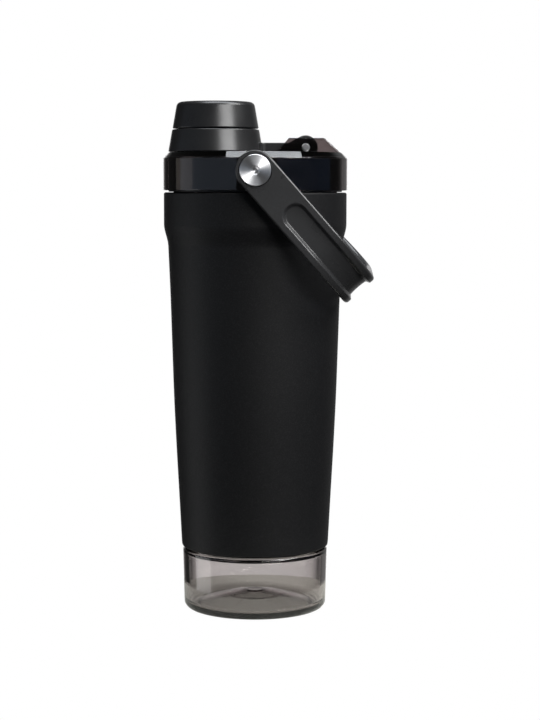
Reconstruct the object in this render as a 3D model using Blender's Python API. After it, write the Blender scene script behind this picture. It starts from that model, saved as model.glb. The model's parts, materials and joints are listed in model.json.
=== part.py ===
"""Protein shaker bottle, built piece by piece.

A vacuum walled steel bottle carries a screw-on lid at the top and a clear storage cup at
the base. The lid carries a tethered bayonet cap over its spout and a swinging handle.
Lengths are millimetres until they reach a mesh, heights are measured from the surface
the bottle stands on, and x is measured from the bottle's own axis. The empty
"bottle_axis" shifts all of it so that the world origin is the middle of the footprint.
"""
from math import cos, pi, radians, sin, tau

import bmesh
import bpy
from mathutils import Matrix, Vector

MM = 0.001
GAP = 0.3            # between pieces that touch
WELD = 0.003         # corners closer than this after a Boolean are one corner
BIG_SIDES = 40       # sides of the bottle, the lid and the cup
SMALL_SIDES = 32     # sides of the cap, the spout and the ring
TINY_SIDES = 20      # sides of pins, screws and bushes

# Bottle
BODY_BOTTOM = 31.6
BODY_RADII = ((33.0, 36.8), (57.0, 38.05), (82.0, 39.4), (106.0, 40.5),
              (130.0, 41.3), (154.0, 42.05), (168.0, 42.6), (180.5, 43.15))
STEP = ((184.4, 1.6), (189.0, 0.4))      # height, and how far inside the collar it is
COLLAR_R = 45.3
COLLAR_BOTTOM = 192.5
COLLAR_TOP = 208.0
STEEL_WALL = 0.9
NECK_R = 40.4
NECK_TOP = 212.4
LIP_TOP = 213.4
LINER_NECK_R = 39.2
LINER_BOTTOM = 46.0
BASE_PLATE_BOTTOM = 42.2
BASE_PLATE_R = 35.9
SOCKET_R = 35.0
SOCKET_BORE = 33.6
SOCKET_BOTTOM = 32.1
SOCKET_TOP = 41.5

# Screw threads of the lid and of the storage cup
PITCH = 3.0
THREAD_TURNS = 1.0
THREAD_ROOT = 1.2
THREAD_TIP = 0.5
THREAD_DEPTH = 1.1

# Storage cup
CUP_RIM = 30.5
CUP_TOP_R = 36.3
CUP_FOOT_R = 35.6
CUP_CORNER = 5.0
CUP_WALL = 2.6
CUP_PUSH_UP = 6.0
CUP_NECK_R = 32.2
CUP_NECK_BORE = 30.0
CUP_NECK_TOP = 39.8

# Lid
LID_R = 45.6
LID_BOTTOM = 209.0
LID_CHAMFER_Z = 224.6
LID_TOP = 227.6
LID_TOP_R = 43.0
LID_SHELL_BORE = 43.3
LID_PLATE_BOTTOM = 224.8
CORE_R = 42.95
CORE_BORE = 41.9
CORE_TOP = 224.5
CORE_RING_R = 34.5
CORE_RING_Z = 215.5
CORE_PLATE_Z = 221.1
SPOUT_X = -19.6
SPOUT_BASE_R = 15.4
SPOUT_TOP_R = 14.3
SPOUT_BORE = 12.4
SPOUT_TOP = 244.4
LUG_Z = 234.0
LUG_HEIGHT = 1.8
LUG_COUNT = 3
LUG_HALF_ANGLE = radians(16)

# Hinge of the tether
HINGE_X = 24.8
HINGE_Z = 230.15
PIN_R = 1.7
PIN_HALF = 9.5
KNUCKLE_R = 5.9
KNUCKLE_HALF = 6.2
EAR_INNER = 6.6
EAR_OUTER = 9.6
EAR_TOP = 234.65
EAR_OUTLINE = ((10.4, 226.3), (10.4, 227.5), (16.45, EAR_TOP), (33.9, EAR_TOP),
               (44.2, 225.25), (42.0, 226.3))
KNUCKLE_ROOM = 7.4   # from the hinge's axis to the ends of the slot under the knuckle

# Tether ring and cap
RING_BOTTOM = 227.9
RING_TOP = 238.9
RING_FOOT_R = 23.45
RING_TOP_R = 21.5
RING_BORE = 18.8
STRAP_TOP = 232.4
RAMP_X = 16.6        # where the strap starts to rise to the top of its knuckle
RAMP_SLOPE = radians(28.5)
CAP_BOTTOM = 239.4
CAP_TOP = 252.4
CAP_FOOT_R = 21.3
CAP_SHOULDER_R = 19.45
CAP_EDGE = 2.2
CAP_SKIRT_R = 18.4
CAP_SKIRT_BORE = 17.0
CAP_SEAL_Z = 244.7

# Handle, in its own frame: x runs from the pivot to the crossbar
PIVOT_Z = 218.5
HANDLE_DROP = radians(48.6)
HANDLE_REACH = 77.5
HANDLE_HALF_WIDTH = 9.45
HANDLE_INNER = 48.4
HANDLE_THICK = 3.8
HANDLE_BEND = 30.0
HANDLE_CHAMFER = 1.2
POCKET_START = 22.6
POCKET_HALF_WIDTH = 5.6
POCKET_DEPTH = 1.3
EYE_BORE = 4.5
COUNTERBORE_R = 7.9
COUNTERBORE_DEPTH = 1.3
HEAD_R = 7.45
HEAD_INNER = 51.4
HEAD_OUTER = 53.0
SHOULDER_R = 2.95
SHANK_R = 1.2

# Half of what the handle reaches beyond the lid: the footprint's middle is this far off
HANDLE_CORNER_X = ((HANDLE_REACH - HANDLE_CHAMFER) * cos(HANDLE_DROP)
                   + HANDLE_HALF_WIDTH * sin(HANDLE_DROP))
BOTTLE_X = -(HANDLE_CORNER_X - LID_R) / 2

# name: (colour, roughness, metallic, transmission)
MATERIALS = {
    "powder_coat": ((0.010, 0.010, 0.011, 1), 0.55, 0.0, 0.0),
    "brushed_steel": ((0.55, 0.55, 0.56, 1), 0.32, 1.0, 0.0),
    "turned_steel": ((0.62, 0.62, 0.64, 1), 0.22, 1.0, 0.0),
    "black_plastic": ((0.012, 0.012, 0.013, 1), 0.40, 0.0, 0.0),
    "core_plastic": ((0.008, 0.008, 0.010, 1), 0.45, 0.0, 0.0),
    "smoked_lid": ((0.030, 0.028, 0.035, 1), 0.08, 0.0, 0.7),
    "smoked_cup": ((0.32, 0.29, 0.28, 1), 0.05, 0.0, 0.9),
    "silicone": ((0.035, 0.035, 0.037, 1), 0.65, 0.0, 0.0),
    "brass": ((0.62, 0.45, 0.20, 1), 0.35, 1.0, 0.0),
    "getter_metal": ((0.30, 0.30, 0.31, 1), 0.60, 1.0, 0.0),
    "acetal": ((0.030, 0.030, 0.032, 1), 0.35, 0.0, 0.0),
}


# ---------------------------------------------------------------- helpers

def clear_scene():
    for obj in list(bpy.data.objects):
        bpy.data.objects.remove(obj, do_unlink=True)


def make_materials():
    for name, (colour, roughness, metallic, transmission) in MATERIALS.items():
        material = bpy.data.materials.new(name)
        material.use_nodes = True
        shader = material.node_tree.nodes["Principled BSDF"]
        shader.inputs["Base Color"].default_value = colour
        shader.inputs["Roughness"].default_value = roughness
        shader.inputs["Metallic"].default_value = metallic
        shader.inputs["Transmission Weight"].default_value = transmission


def new_object(name, bm, material=None):
    """Turn a bmesh in millimetres into an object, facing out and shaded."""
    bmesh.ops.scale(bm, vec=(MM, MM, MM), verts=bm.verts)
    bmesh.ops.recalc_face_normals(bm, faces=bm.faces)
    mesh = bpy.data.meshes.new(name)
    bm.to_mesh(mesh)
    bm.free()
    obj = bpy.data.objects.new(name, mesh)
    bpy.context.scene.collection.objects.link(obj)
    if material:
        mesh.materials.append(bpy.data.materials[material])
    return obj


def turned(name, outline, material=None, sides=BIG_SIDES, x=0.0):
    """Turn a closed outline of (radius, height) once round the vertical axis at x.

    An outline that starts or ends on the axis does so on a flat end.
    """
    bm = bmesh.new()
    points = [bm.verts.new((r, 0, z)) for r, z in outline]
    edges = []
    for a, b in zip(points, points[1:] + points[:1]):
        if a.co.x > 0 or b.co.x > 0:
            edges.append(bm.edges.new((a, b)))
    bmesh.ops.spin(bm, geom=points + edges, axis=(0, 0, 1), cent=(0, 0, 0),
                   angle=tau, steps=sides, use_merge=True)
    bmesh.ops.remove_doubles(bm, verts=bm.verts, dist=0.001)
    centres = [v for v in bm.verts if v.co.xy.length < 0.001]
    bmesh.ops.dissolve_verts(bm, verts=centres)
    obj = new_object(name, bm, material)
    obj.location.x = x * MM
    return obj


def rod(name, outline, side, x, z, material=None):
    """Turn an outline of (radius, distance) round the line along y at x and z.

    Distances run away from the bottle's axis: side is -1 for the front, 1 for the back.
    """
    obj = turned(name, outline, material, TINY_SIDES)
    half_side = Matrix.Rotation(pi / TINY_SIDES, 4, "Z")
    obj.data.transform(Matrix.Rotation(-side * pi / 2, 4, "X") @ half_side)
    obj.location = Vector((x, 0, z)) * MM
    return obj


def block(name, low, high):
    """A box between two corners."""
    bm = bmesh.new()
    bmesh.ops.create_cube(bm, size=1)
    size = [b - a for a, b in zip(low, high)]
    middle = [(a + b) / 2 for a, b in zip(low, high)]
    bmesh.ops.scale(bm, vec=size, verts=bm.verts)
    bmesh.ops.translate(bm, vec=middle, verts=bm.verts)
    return new_object(name, bm)


def prism(name, outline, y_low, y_high):
    """Extrude an outline of (x, z) from y_low to y_high."""
    bm = bmesh.new()
    face = bm.faces.new([bm.verts.new((x, y_low, z)) for x, z in outline])
    grown = bmesh.ops.extrude_face_region(bm, geom=[face])["geom"]
    moved = [v for v in grown if isinstance(v, bmesh.types.BMVert)]
    bmesh.ops.translate(bm, vec=(0, y_high - y_low, 0), verts=moved)
    return new_object(name, bm)


def loft(name, sections, material=None):
    """Join sections of equally many points into one closed body."""
    bm = bmesh.new()
    rings = [[bm.verts.new(point) for point in section] for section in sections]
    count = len(rings[0])
    for first, second in zip(rings, rings[1:]):
        for i in range(count):
            j = (i + 1) % count
            bm.faces.new((first[i], first[j], second[j], second[i]))
    bm.faces.new(rings[0])
    bm.faces.new(reversed(rings[-1]))
    return new_object(name, bm, material)


def combine(obj, tool, operation):
    """Apply one Boolean to obj and remove the tool."""
    modifier = obj.modifiers.new(operation.lower(), "BOOLEAN")
    modifier.operation = operation
    modifier.solver = "EXACT"
    modifier.object = tool
    bpy.context.view_layer.update()
    evaluated = obj.evaluated_get(bpy.context.evaluated_depsgraph_get())
    result = bpy.data.meshes.new_from_object(evaluated)
    obj.modifiers.clear()
    obj.data = result
    bpy.data.objects.remove(tool, do_unlink=True)
    bm = bmesh.new()
    bm.from_mesh(result)
    bmesh.ops.remove_doubles(bm, verts=bm.verts, dist=WELD * MM)
    bm.to_mesh(result)
    bm.free()


def join(obj, *tools):
    for tool in tools:
        combine(obj, tool, "UNION")


def cut(obj, *tools):
    for tool in tools:
        combine(obj, tool, "DIFFERENCE")


def set_origin(obj, point):
    """Move the object's origin to a point and leave its shape where it is."""
    target = Vector(point) * MM
    obj.data.transform(Matrix.Translation(obj.location - target))
    obj.location = target


def arc(centre, radius, start, end, steps):
    """Points of an arc, in degrees, both ends included."""
    points = []
    for i in range(steps + 1):
        angle = radians(start + (end - start) * i / steps)
        points.append((centre[0] + radius * cos(angle), centre[1] + radius * sin(angle)))
    return points


def cylinder(name, radius, low, high, x=0.0, sides=SMALL_SIDES):
    return turned(name, ((0, low), (radius, low), (radius, high), (0, high)), None, sides, x)


def tube(inner, outer, low, high):
    """Outline of a plain ring."""
    return ((inner, low), (outer, low), (outer, high), (inner, high))


def thread_ridge(name, wall_r, inward, z_start):
    """One helical ridge of a right-hand thread, standing on a wall of radius wall_r."""
    way = -1 if inward else 1
    steps = round(THREAD_TURNS * BIG_SIDES)
    lead_in = 3
    sections = []
    for i in range(steps + 1):
        angle = tau * i / BIG_SIDES
        height = z_start + PITCH * i / BIG_SIDES
        rise = min(i, steps - i, lead_in) / lead_in
        tip_r = wall_r + way * (0.3 + (THREAD_DEPTH - 0.3) * rise)
        root_r = wall_r - way * 0.4
        corners = ((root_r, -THREAD_ROOT / 2), (tip_r, -THREAD_TIP / 2),
                   (tip_r, THREAD_TIP / 2), (root_r, THREAD_ROOT / 2))
        sections.append([(r * cos(angle), r * sin(angle), height + z) for r, z in corners])
    return loft(name, sections)


def lug(name, inner, outer, low, turn):
    """One bayonet lug: a block bent round the vertical axis at SPOUT_X."""
    steps = 4
    sections = []
    for i in range(steps + 1):
        angle = turn + LUG_HALF_ANGLE * (2 * i / steps - 1)
        corners = ((inner, low), (outer, low), (outer, low + LUG_HEIGHT),
                   (inner, low + LUG_HEIGHT))
        sections.append([(r * cos(angle), r * sin(angle), z) for r, z in corners])
    obj = loft(name, sections)
    obj.location.x = SPOUT_X * MM
    return obj


# ---------------------------------------------------------------- bottle

def body_profile(inset, every=1):
    """The body's side from bottom to top, moved inward by inset."""
    side = [(radius - inset, height) for height, radius in BODY_RADII[::every]]
    step = [(COLLAR_R - shy - inset, height) for height, shy in STEP]
    return side + step + [(COLLAR_R - inset, COLLAR_BOTTOM)]


def make_outer_shell():
    outside = [(35.4, BODY_BOTTOM), (36.2, BODY_BOTTOM + 0.5)] + body_profile(0)
    outside += [(COLLAR_R, COLLAR_TOP - 0.8), (COLLAR_R - 0.8, COLLAR_TOP)]
    outside += [(NECK_R, COLLAR_TOP), (NECK_R, NECK_TOP)]
    inside = [(35.4, BODY_BOTTOM + 0.6)] + body_profile(STEEL_WALL, 2)
    inside += [(COLLAR_R - STEEL_WALL, COLLAR_TOP - STEEL_WALL)]
    inside += [(NECK_R - STEEL_WALL, COLLAR_TOP - STEEL_WALL), (NECK_R - STEEL_WALL, NECK_TOP)]
    shell = turned("outer_shell", outside + inside[::-1], "powder_coat")
    join(shell, thread_ridge("ridge", NECK_R, False, COLLAR_TOP + 0.75))


def make_inner_liner():
    wall = STEEL_WALL
    outside = [(0, LINER_BOTTOM), (30.5, LINER_BOTTOM), (34.0, LINER_BOTTOM + 4.0),
               (36.0, 90.0), (LINER_NECK_R - 1.2, 150.0), (LINER_NECK_R, 192.0),
               (LINER_NECK_R, NECK_TOP + GAP), (NECK_R, NECK_TOP + GAP), (NECK_R, LIP_TOP)]
    inside = [(LINER_NECK_R - wall, LIP_TOP), (LINER_NECK_R - wall, 192.0),
              (LINER_NECK_R - 1.2 - wall, 150.0), (36.0 - wall, 90.0),
              (34.0 - wall, LINER_BOTTOM + 4.3), (30.3, LINER_BOTTOM + wall),
              (0, LINER_BOTTOM + wall)]
    turned("inner_liner", outside + inside, "brushed_steel")


def make_base():
    top = BASE_PLATE_BOTTOM + 0.8
    turned("base_plate", ((0, BASE_PLATE_BOTTOM), (BASE_PLATE_R, BASE_PLATE_BOTTOM),
                          (BASE_PLATE_R, top), (0, top)), "brushed_steel")
    turned("getter", ((0, top + GAP), (5.0, top + GAP), (5.0, top + GAP + 1.6),
                      (0, top + GAP + 1.6)), "getter_metal", TINY_SIDES)
    socket = turned("base_socket", tube(SOCKET_BORE, SOCKET_R, SOCKET_BOTTOM, SOCKET_TOP),
                    "black_plastic")
    join(socket, thread_ridge("ridge", SOCKET_BORE, True, SOCKET_BOTTOM + 4.2))


# ---------------------------------------------------------------- storage cup

def make_storage_cup():
    wall = CUP_WALL
    contact = CUP_FOOT_R - CUP_CORNER
    under = [(0, CUP_PUSH_UP), (5.5, CUP_PUSH_UP), (13.0, CUP_PUSH_UP - 1.6),
             (contact - 3.6, 0.9), (contact - 2.4, 0)]
    corner = arc((contact, CUP_CORNER), CUP_CORNER, -90, 0, 4)
    shoulder = [(CUP_TOP_R, CUP_RIM - 1.0), (CUP_TOP_R - 0.9, CUP_RIM),
                (CUP_NECK_R, CUP_RIM), (CUP_NECK_R, CUP_NECK_TOP)]
    neck = [(CUP_NECK_BORE, CUP_NECK_TOP), (CUP_NECK_BORE, CUP_RIM - 1.0)]
    inside = [(CUP_TOP_R - wall, CUP_RIM - 3.6)]
    inside += arc((contact, CUP_CORNER + 0.4), CUP_CORNER - wall, 0, -90, 3)
    floor = [(13.0, CUP_PUSH_UP + 1.0), (5.5, CUP_PUSH_UP + wall), (0, CUP_PUSH_UP + wall)]
    cup = turned("storage_cup", under + corner + shoulder + neck + inside + floor,
                 "smoked_cup")
    join(cup, thread_ridge("ridge", CUP_NECK_R, False, SOCKET_BOTTOM + 2.7))
    low = CUP_RIM + GAP
    turned("cup_seal", tube(CUP_NECK_R + 0.5, 34.6, low, low + 1.0), "silicone")


# ---------------------------------------------------------------- lid

def make_lid_core():
    low = COLLAR_TOP + GAP
    outline = ((CORE_R, low), (CORE_R, CORE_TOP), (0, CORE_TOP),
               (0, CORE_PLATE_Z), (CORE_RING_R, CORE_PLATE_Z), (CORE_RING_R, CORE_RING_Z),
               (CORE_BORE, CORE_RING_Z), (CORE_BORE, low))
    core = turned("lid_core", outline, "core_plastic")
    join(core, thread_ridge("ridge", CORE_BORE, True, COLLAR_TOP + 2.25))
    spout = turned("spout", ((0, CORE_TOP - 2.0), (SPOUT_BASE_R, CORE_TOP - 2.0),
                             (SPOUT_BASE_R, CORE_TOP + 0.5), (SPOUT_TOP_R, SPOUT_TOP - 0.6),
                             (SPOUT_TOP_R - 0.5, SPOUT_TOP), (0, SPOUT_TOP)),
                   None, SMALL_SIDES, SPOUT_X)
    for i in range(LUG_COUNT):
        join(spout, lug("lug", 13.4, 16.4, LUG_Z, radians(60) + tau * i / LUG_COUNT))
    join(core, spout)
    cut(core, cylinder("bore", SPOUT_BORE, CORE_PLATE_Z - 2, SPOUT_TOP + 2, SPOUT_X))
    cut(core, block("pocket", (HINGE_X - KNUCKLE_ROOM, -EAR_INNER, HINGE_Z - KNUCKLE_R - 0.7),
                    (HINGE_X + KNUCKLE_ROOM, EAR_INNER, CORE_TOP + 2)))
    for side in (-1, 1):
        cut(core, rod("insert_hole", ((0, 37.3), (2.5, 37.3), (2.5, 46), (0, 46)),
                      side, 0, PIVOT_Z))


def make_lid_shell():
    outline = ((LID_R, LID_BOTTOM), (LID_R, LID_CHAMFER_Z), (LID_TOP_R, LID_TOP),
               (0, LID_TOP), (0, LID_PLATE_BOTTOM), (LID_SHELL_BORE, LID_PLATE_BOTTOM),
               (LID_SHELL_BORE, LID_BOTTOM))
    shell = turned("lid_shell", outline, "smoked_lid")
    for side in (-1, 1):
        near, far = sorted((side * (EAR_INNER - 1), side * EAR_OUTER))
        join(shell, prism("ear", EAR_OUTLINE, near, far))
        join(shell, rod("pivot_pad", ((0, 44.6), (6.0, 44.6), (6.0, 46.8), (0, 46.8)),
                        side, 0, PIVOT_Z))
    cut(shell, cylinder("spout_hole", SPOUT_BASE_R + 0.6, LID_PLATE_BOTTOM - 2,
                        LID_TOP + 2, SPOUT_X))
    cut(shell, block("channel", (EAR_OUTLINE[0][0] - 2, -EAR_INNER, LID_TOP - 0.7),
                     (LID_R + 2, EAR_INNER, EAR_TOP + 2)))
    width = EAR_INNER - 0.1
    cut(shell, block("slot", (HINGE_X - KNUCKLE_ROOM, -width, LID_PLATE_BOTTOM - 2),
                     (HINGE_X + KNUCKLE_ROOM, width, EAR_TOP + 2)))
    bore = PIN_R + GAP
    cut(shell, rod("pin_hole", ((0, -12), (bore, -12), (bore, 12), (0, 12)),
                   1, HINGE_X, HINGE_Z))
    for side in (-1, 1):
        cut(shell, rod("screw_hole", ((0, 41), (2.5, 41), (2.5, 49), (0, 49)),
                       side, 0, PIVOT_Z))


def make_mixing_grid():
    """A slotted disc that snaps up into the lid and breaks up lumps."""
    low, high, plate = 206.0, 218.0, 208.2
    bore, radius = 32.5, 34.2
    grid = turned("mixing_grid", ((0, low), (radius, low), (radius, high), (bore, high),
                                  (bore, plate), (0, plate)), "black_plastic")
    slots = 10
    for i in range(slots):
        slot = block("slot", (9.0, -1.8, low - 1), (29.0, 1.8, plate + 1))
        slot.rotation_euler.z = tau * i / slots
        cut(grid, slot)
    cut(grid, cylinder("hole", 4.0, low - 1, plate + 1))


def make_seal():
    low = LIP_TOP + GAP
    turned("lid_seal", tube(38.0, 40.6, low, CORE_RING_Z - GAP), "silicone")


def make_hinge_pin():
    outline = ((0, -PIN_HALF), (PIN_R, -PIN_HALF), (PIN_R, PIN_HALF), (0, PIN_HALF))
    rod("hinge_pin", outline, 1, HINGE_X, HINGE_Z, "brushed_steel")


# ---------------------------------------------------------------- pivots of the handle

def make_pivots():
    for label, side in (("front", -1), ("back", 1)):
        rod(f"insert_{label}", tube(1.5, 2.2, 38.0, 43.0), side, 0, PIVOT_Z, "brass")
        rod(f"pivot_washer_{label}", tube(SHOULDER_R + GAP, 7.0, 47.1, 47.7),
            side, 0, PIVOT_Z, "acetal")
        rod(f"handle_bush_{label}", tube(SHOULDER_R + GAP, EYE_BORE - GAP, HANDLE_INNER, 51.0),
            side, 0, PIVOT_Z, "acetal")
        make_handle_screw(label, side)


def make_handle_screw(label, side):
    outline = ((0, 39.0), (SHANK_R, 39.0), (SHANK_R, 47.1), (SHOULDER_R, 47.1),
               (SHOULDER_R, HEAD_INNER), (HEAD_R, HEAD_INNER), (HEAD_R, HEAD_OUTER - 0.5),
               (HEAD_R - 0.6, HEAD_OUTER), (2.2, HEAD_OUTER), (1.3, HEAD_OUTER - 0.7),
               (1.3, HEAD_OUTER - 1.4), (0, HEAD_OUTER - 1.4))
    rod(f"handle_screw_{label}", outline, side, 0, PIVOT_Z, "turned_steel")


# ---------------------------------------------------------------- handle

def band_section(along, turn, half_width, low, high, chamfer):
    """Points across the band, at a place along one arm or round its bend.

    Low and high are distances out from the band's inner face.
    """
    centre = (HANDLE_REACH - HANDLE_BEND, HANDLE_INNER + HANDLE_THICK - HANDLE_BEND)
    start = HANDLE_BEND - HANDLE_THICK
    edge = half_width - chamfer
    outline = ((low, -edge), (low + chamfer, -half_width), (high - chamfer, -half_width),
               (high, -edge), (high, edge), (high - chamfer, half_width),
               (low + chamfer, half_width), (low, edge))
    points = []
    for out, up in outline:
        if turn is None:
            points.append((along, HANDLE_INNER + out, up))
        else:
            points.append((centre[0] + (start + out) * sin(turn),
                           centre[1] + (start + out) * cos(turn), up))
    return points


def half_band(start, half_width, low, high, chamfer):
    """Sections from a round end near the pivot to the middle of the crossbar."""
    sections = []
    for degrees in (10, 30, 50, 70, 90):
        angle = radians(degrees)
        sections.append(band_section(start - half_width * cos(angle), None,
                                     half_width * sin(angle), low, high, chamfer))
    bend_steps = 8
    for i in range(bend_steps + 1):
        sections.append(band_section(None, pi / 2 * i / bend_steps, half_width,
                                     low, high, chamfer))
    return sections


def band(name, start, half_width, low, high, chamfer, material=None):
    """A whole band: both arms, both bends and the crossbar."""
    back = half_band(start, half_width, low, high, chamfer)
    front = [[(x, -y, z) for x, y, z in section] for section in back]
    return loft(name, back + front[::-1], material)


def make_handle():
    handle = band("handle", 0, HANDLE_HALF_WIDTH, 0, HANDLE_THICK, HANDLE_CHAMFER,
                  "black_plastic")
    cut(handle, band("pocket", POCKET_START + POCKET_HALF_WIDTH, POCKET_HALF_WIDTH,
                     HANDLE_THICK - POCKET_DEPTH, HANDLE_THICK + 2, 0.1))
    outer = HANDLE_INNER + HANDLE_THICK
    for side in (-1, 1):
        cut(handle, rod("bore", ((0, 40), (EYE_BORE, 40), (EYE_BORE, 60), (0, 60)),
                        side, 0, 0))
        floor = outer - COUNTERBORE_DEPTH
        cut(handle, rod("counterbore", ((0, floor), (COUNTERBORE_R, floor),
                                        (COUNTERBORE_R, 60), (0, 60)), side, 0, 0))
    handle.location.z = PIVOT_Z * MM
    handle.rotation_euler.y = HANDLE_DROP


# ---------------------------------------------------------------- tether and cap

def make_tether():
    outline = ((19.9, RING_BOTTOM), (RING_FOOT_R - 0.4, RING_BOTTOM),
               (RING_FOOT_R, RING_BOTTOM + 0.4), (RING_TOP_R, RING_TOP - 0.6),
               (RING_TOP_R - 0.6, RING_TOP), (RING_BORE, RING_TOP),
               (RING_BORE, RING_BOTTOM + 1.9), (19.9, RING_BOTTOM + 1.7))
    tether = turned("tether", outline, "black_plastic", SMALL_SIDES, SPOUT_X)
    strap_half = KNUCKLE_HALF - 0.1
    join(tether, block("strap", (SPOUT_X + 20.6, -strap_half, RING_BOTTOM),
                       (HINGE_X, strap_half, STRAP_TOP)))
    ramp = ((RAMP_X, STRAP_TOP - 1.5), (RAMP_X, STRAP_TOP),
            (HINGE_X - KNUCKLE_R * sin(RAMP_SLOPE), HINGE_Z + KNUCKLE_R * cos(RAMP_SLOPE)),
            (HINGE_X, HINGE_Z), (HINGE_X - 2.0, HINGE_Z - 1.5))
    join(tether, prism("ramp", ramp, 0.2 - strap_half, strap_half - 0.2))
    join(tether, rod("knuckle", ((0, -KNUCKLE_HALF), (KNUCKLE_R, -KNUCKLE_HALF),
                                 (KNUCKLE_R, KNUCKLE_HALF), (0, KNUCKLE_HALF)),
                     1, HINGE_X, HINGE_Z))
    bore = PIN_R + GAP
    cut(tether, rod("pin_hole", ((0, -12), (bore, -12), (bore, 12), (0, 12)),
                    1, HINGE_X, HINGE_Z))
    set_origin(tether, (HINGE_X, 0, HINGE_Z))


def make_cap():
    edge = arc((CAP_SHOULDER_R - CAP_EDGE, CAP_TOP - CAP_EDGE), CAP_EDGE, 0, 90, 3)
    inner = CAP_SKIRT_R + GAP
    shell = [(inner, CAP_BOTTOM), (CAP_FOOT_R, CAP_BOTTOM)] + edge
    shell += [(0, CAP_TOP), (0, 250.2), (17.3, 250.2), (inner, 247.5)]
    turned("cap_shell", shell, "black_plastic", SMALL_SIDES, SPOUT_X)
    core = turned("cap_core", ((CAP_SKIRT_BORE, 228.0), (19.0, 228.0), (19.3, 228.4),
                               (19.3, 229.0), (CAP_SKIRT_R, 229.2), (CAP_SKIRT_R, 247.4),
                               (17.1, 249.9), (0, 249.9), (0, 246.5),
                               (CAP_SKIRT_BORE, 246.5)),
                  "core_plastic", SMALL_SIDES, SPOUT_X)
    for i in range(LUG_COUNT):
        join(core, lug("lug", 15.9, 17.6, LUG_Z - 2.5, tau * i / LUG_COUNT))
    turned("cap_seal", ((0, CAP_SEAL_Z), (16.6, CAP_SEAL_Z), (16.6, CAP_SEAL_Z + 1.5),
                        (0, CAP_SEAL_Z + 1.5)), "silicone", SMALL_SIDES, SPOUT_X)


# ---------------------------------------------------------------- assembly

def shade_and_place():
    """Shade every piece and hang it on the bottle's axis."""
    axis = bpy.data.objects.new("bottle_axis", None)
    bpy.context.scene.collection.objects.link(axis)
    axis.location.x = BOTTLE_X * MM
    for obj in bpy.data.objects:
        if obj.type == "MESH":
            obj.data.shade_smooth()
            obj.data.set_sharp_from_angle(angle=radians(35))
            obj.parent = axis


def main():
    clear_scene()
    make_materials()
    make_outer_shell()
    make_inner_liner()
    make_base()
    make_storage_cup()
    make_seal()
    make_lid_core()
    make_lid_shell()
    make_mixing_grid()
    make_hinge_pin()
    make_pivots()
    make_handle()
    make_tether()
    make_cap()
    shade_and_place()


main()
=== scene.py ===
"""Looks of the protein shaker bottle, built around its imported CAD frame.

Pieces are shaped in millimetres. Their x runs from the bottle's own axis, z from the
surface that it stands on, and -y faces the camera. The camera, the floor, the lights and
their aims are in metres.
"""

import json
from math import atan2, cos, pi, radians, sin, sqrt, tan, tau

import bmesh
import bpy
from mathutils import Matrix, Vector


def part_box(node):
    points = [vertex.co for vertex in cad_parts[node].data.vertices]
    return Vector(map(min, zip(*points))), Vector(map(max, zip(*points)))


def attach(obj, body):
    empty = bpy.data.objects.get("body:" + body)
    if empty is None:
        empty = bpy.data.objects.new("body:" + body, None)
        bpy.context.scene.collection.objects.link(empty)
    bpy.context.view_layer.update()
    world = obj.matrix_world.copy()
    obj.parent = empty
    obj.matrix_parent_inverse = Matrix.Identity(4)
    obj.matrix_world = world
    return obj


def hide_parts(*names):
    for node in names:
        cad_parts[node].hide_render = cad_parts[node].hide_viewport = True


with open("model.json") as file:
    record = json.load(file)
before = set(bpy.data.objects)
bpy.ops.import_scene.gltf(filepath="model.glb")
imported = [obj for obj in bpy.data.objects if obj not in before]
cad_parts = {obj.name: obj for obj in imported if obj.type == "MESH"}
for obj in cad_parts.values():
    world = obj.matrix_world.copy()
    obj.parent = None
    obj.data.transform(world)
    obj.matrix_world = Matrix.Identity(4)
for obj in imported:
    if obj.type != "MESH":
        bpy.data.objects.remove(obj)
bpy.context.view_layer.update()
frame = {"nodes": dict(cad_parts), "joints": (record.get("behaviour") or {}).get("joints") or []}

MM = 0.001
JOINTS = {joint["name"]: joint for joint in frame["joints"]}


def place_of(joint):
    """Where a hinge is, in millimetres in the row frame."""
    return Vector(JOINTS[joint]["pos_m"]) / MM


AXIS_X = place_of("lid_turn").x              # the bottle's axis in the row frame
PIVOT_Z = place_of("handle_swing").z
HINGE_X = place_of("tether_swing").x - AXIS_X
HINGE_Z = place_of("tether_swing").z
SPOUT_X = place_of("cap_turn").x - AXIS_X
PIN_REACH = (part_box("hinge_pin")[1] / MM).y  # from the middle of the pin to its end

ROUND = 192          # sides of the bottle, the lid and the cup
SMALL = 128          # sides of the cap, the ring and the spout
TINY = 64            # sides of screws and pins
WELD = 0.002         # corners closer than this after a Boolean are one corner
TOUCH = 0.0005       # neighbours on an outline that are closer than this are one point
CORNER_ROOM = 0.49   # share of a side that a rounded corner may use up
THREAD_PITCH = 3.0
THREAD_DEPTH = 1.1
THREAD_STEPS = 120   # sections in the one turn of a thread
THREAD_LEAD = 10     # sections over which a thread's end tapers off


# ---------------------------------------------------------------- shapes

def rounded(outline, steps=5):
    """Turn each corner (a, b, radius) of a closed outline into an arc of that radius."""
    points = []
    for i, corner in enumerate(outline):
        here = Vector(corner[:2])
        if len(corner) < 3:
            points.append(tuple(here))
            continue
        back = Vector(outline[i - 1][:2]) - here
        ahead = Vector(outline[(i + 1) % len(outline)][:2]) - here
        room = CORNER_ROOM * min(back.length, ahead.length)
        half = back.angle(ahead) / 2
        reach = min(corner[2] / tan(half), room)
        radius = reach * tan(half)
        centre = here + (back.normalized() + ahead.normalized()).normalized() * radius / sin(half)
        start = here + back.normalized() * reach - centre
        end = here + ahead.normalized() * reach - centre
        first = atan2(start.y, start.x)
        sweep = (atan2(end.y, end.x) - first + pi) % tau - pi
        for step in range(steps + 1):
            angle = first + sweep * step / steps
            points.append((centre.x + radius * cos(angle), centre.y + radius * sin(angle)))
    return points


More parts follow.
